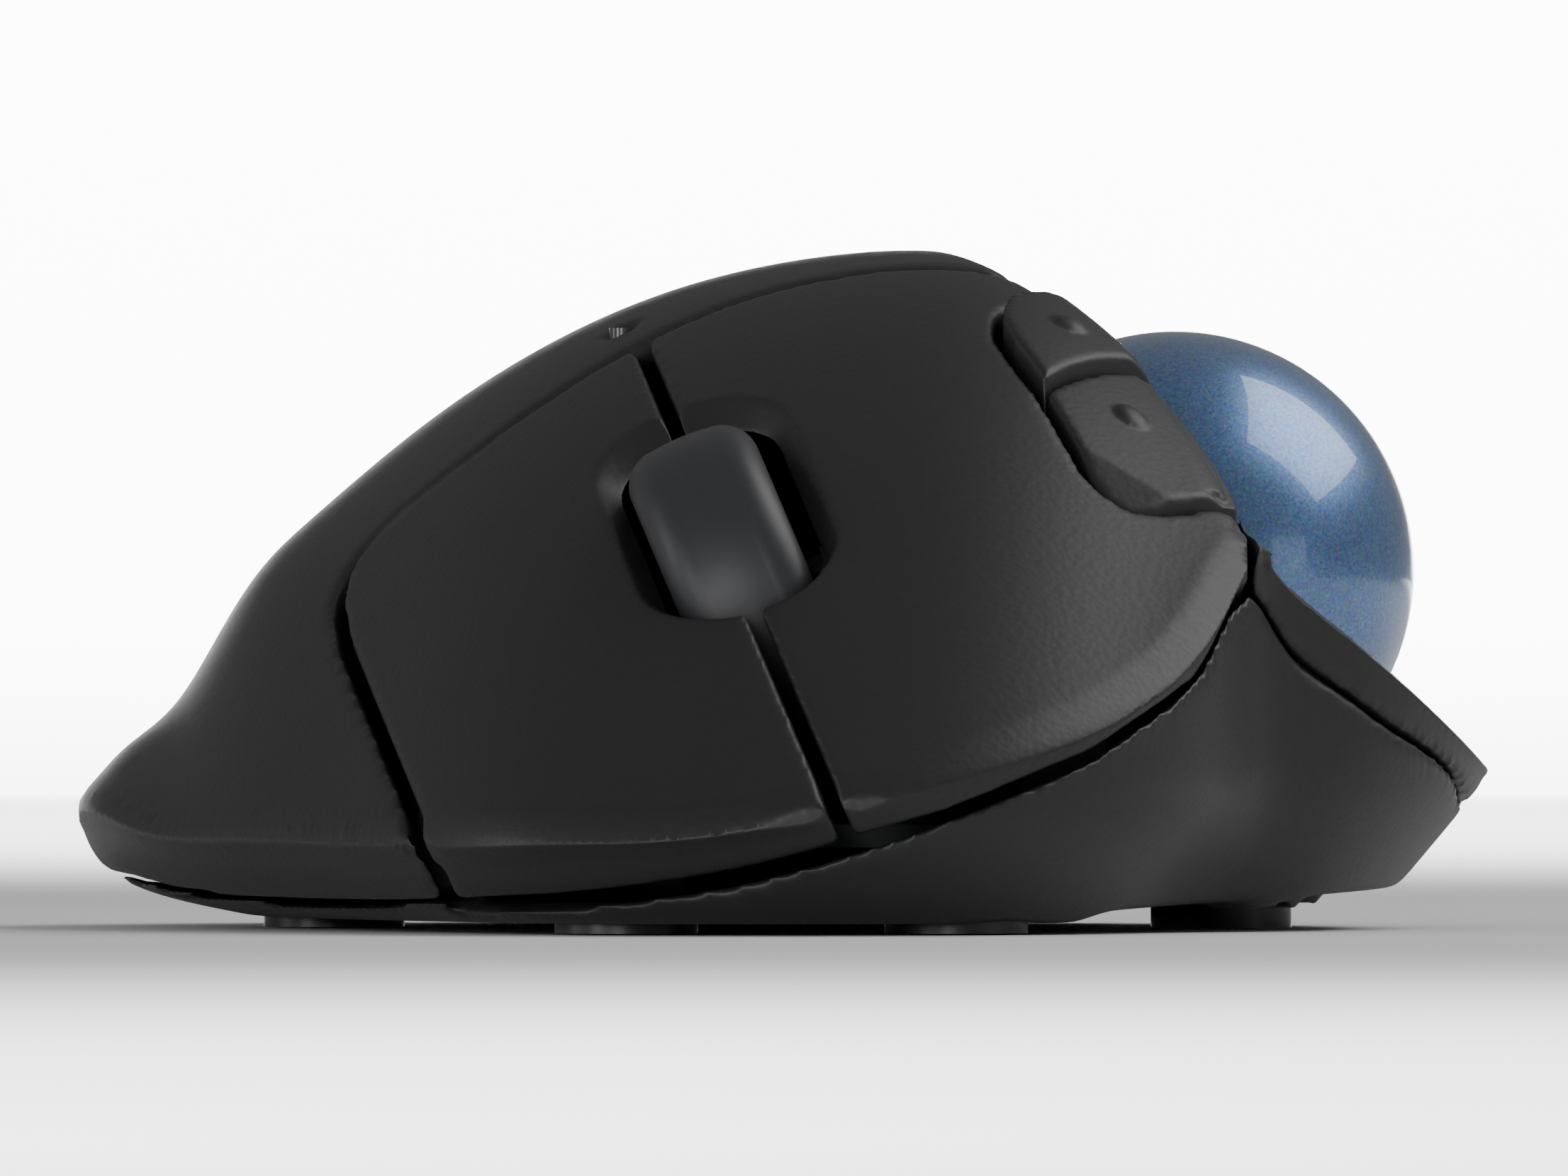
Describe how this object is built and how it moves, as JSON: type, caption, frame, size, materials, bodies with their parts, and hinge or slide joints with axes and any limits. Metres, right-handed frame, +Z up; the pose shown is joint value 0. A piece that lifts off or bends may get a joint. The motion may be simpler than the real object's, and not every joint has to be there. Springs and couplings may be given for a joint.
{
  "type": "thumb trackball mouse",
  "caption": "Right-handed thumb trackball mouse: leaning palm hump, two main buttons, scroll wheel, two side keys and a ball in a thumb scoop.",
  "frame": {"origin": "middle of the footprint, on the desk", "axes": "+Z up, the buttons and wheel face -Y, the thumb ball is on the +X side"},
  "size_m": [0.1, 0.1339, 0.048],
  "materials": {
    "shell_charcoal": "fine moulded grain",
    "tyre_rubber": "smooth satin",
    "inner_plastic": "plain",
    "steel": "plain",
    "ball_blue": "fine metallic fleck under clear gloss",
    "bearing_ceramic": "polished",
    "board_green": "lacquered glass-fibre board",
    "lens_clear": "clear moulding",
    "cell_jacket": "plain printed-free jacket",
    "receiver_metal": "plain",
    "foot_slip": "low-friction film"
  },
  "bodies": {
    "case": {"bottom_case": "shell_charcoal", "top_cover": "shell_charcoal", "ball_cup": "inner_plastic", "support_balls": "bearing_ceramic", "sensor_board": "board_green", "sensor_chip": "inner_plastic", "sensor_lens": "lens_clear", "main_board": "board_green", "primary_switch": "inner_plastic", "secondary_switch": "inner_plastic", "wheel_switch": "inner_plastic", "side_board": "board_green", "forward_switch": "inner_plastic", "back_switch": "inner_plastic", "battery": "cell_jacket", "battery_contact": "steel", "battery_spring": "steel", "receiver": "receiver_metal", "light_pipe": "lens_clear", "case_screw_1": "steel", "case_screw_2": "steel", "case_screw_3": "steel", "case_screw_4": "steel", "case_screw_5": "steel", "foot_1": "foot_slip", "foot_2": "foot_slip", "foot_3": "foot_slip", "foot_4": "foot_slip", "foot_5": "foot_slip"},
    "primary_key": {"primary_button": "shell_charcoal"},
    "secondary_key": {"secondary_button": "shell_charcoal"},
    "forward_key": {"forward_button": "shell_charcoal"},
    "back_key": {"back_button": "shell_charcoal"},
    "ball": {"trackball": "ball_blue"},
    "carriage": {"wheel_carriage": "inner_plastic", "wheel_encoder": "inner_plastic"},
    "wheel": {"wheel_tyre": "tyre_rubber", "wheel_hub": "inner_plastic", "wheel_axle": "inner_plastic"},
    "door": {"battery_door": "shell_charcoal"},
    "power": {"power_slider": "inner_plastic"},
    "pairing": {"pairing_button": "inner_plastic"}
  },
  "joints": [
    {"name": "primary_press", "type": "hinge", "parent": "case", "child": "primary_key", "pos_m": [0.012, -0.0065, 0.045], "axis": [0.9205, 0, 0.3907], "range_deg": [0, 0.4], "stiffness_Nm_per_rad": 1, "springref_deg": -0.69},
    {"name": "secondary_press", "type": "hinge", "parent": "case", "child": "secondary_key", "pos_m": [-0.018, -0.0105, 0.037], "axis": [0.9205, 0, 0.3907], "range_deg": [0, 0.4], "stiffness_Nm_per_rad": 1, "springref_deg": -0.69},
    {"name": "forward_press", "type": "slide", "parent": "case", "child": "forward_key", "axis": [-0.3792, 0.4423, -0.8128], "range_m": [0, 0.0004], "stiffness_N_per_m": 800, "springref_m": -0.0004},
    {"name": "back_press", "type": "slide", "parent": "case", "child": "back_key", "axis": [-0.3237, 0.3542, -0.8774], "range_m": [0, 0.0004], "stiffness_N_per_m": 800, "springref_m": -0.0004},
    {"name": "ball_spin", "type": "hinge", "parent": "case", "child": "ball", "pos_m": [0.0277, 0.002, 0.0253], "axis": [0.788, 0, -0.6157], "continuous": true},
    {"name": "wheel_press", "type": "hinge", "parent": "case", "child": "carriage", "pos_m": [0.00065, -0.021, 0.01574], "axis": [0.9205, 0, 0.3907], "range_deg": [0, 1], "stiffness_Nm_per_rad": 0.4, "springref_deg": -1.15},
    {"name": "wheel_spin", "type": "hinge", "parent": "carriage", "child": "wheel", "pos_m": [-0.00247, -0.036, 0.0231], "axis": [0.9205, 0, 0.3907], "continuous": true},
    {"name": "door_slide", "type": "slide", "parent": "case", "child": "door", "axis": [0, 1, 0], "range_m": [0, 0.004]},
    {"name": "power_slide", "type": "slide", "parent": "case", "child": "power", "axis": [1, 0, 0], "range_m": [0, 0.003]},
    {"name": "pairing_press", "type": "slide", "parent": "case", "child": "pairing", "axis": [0, 0, 1], "range_m": [0, 0.0005], "stiffness_N_per_m": 500, "springref_m": -0.0004}
  ]
}
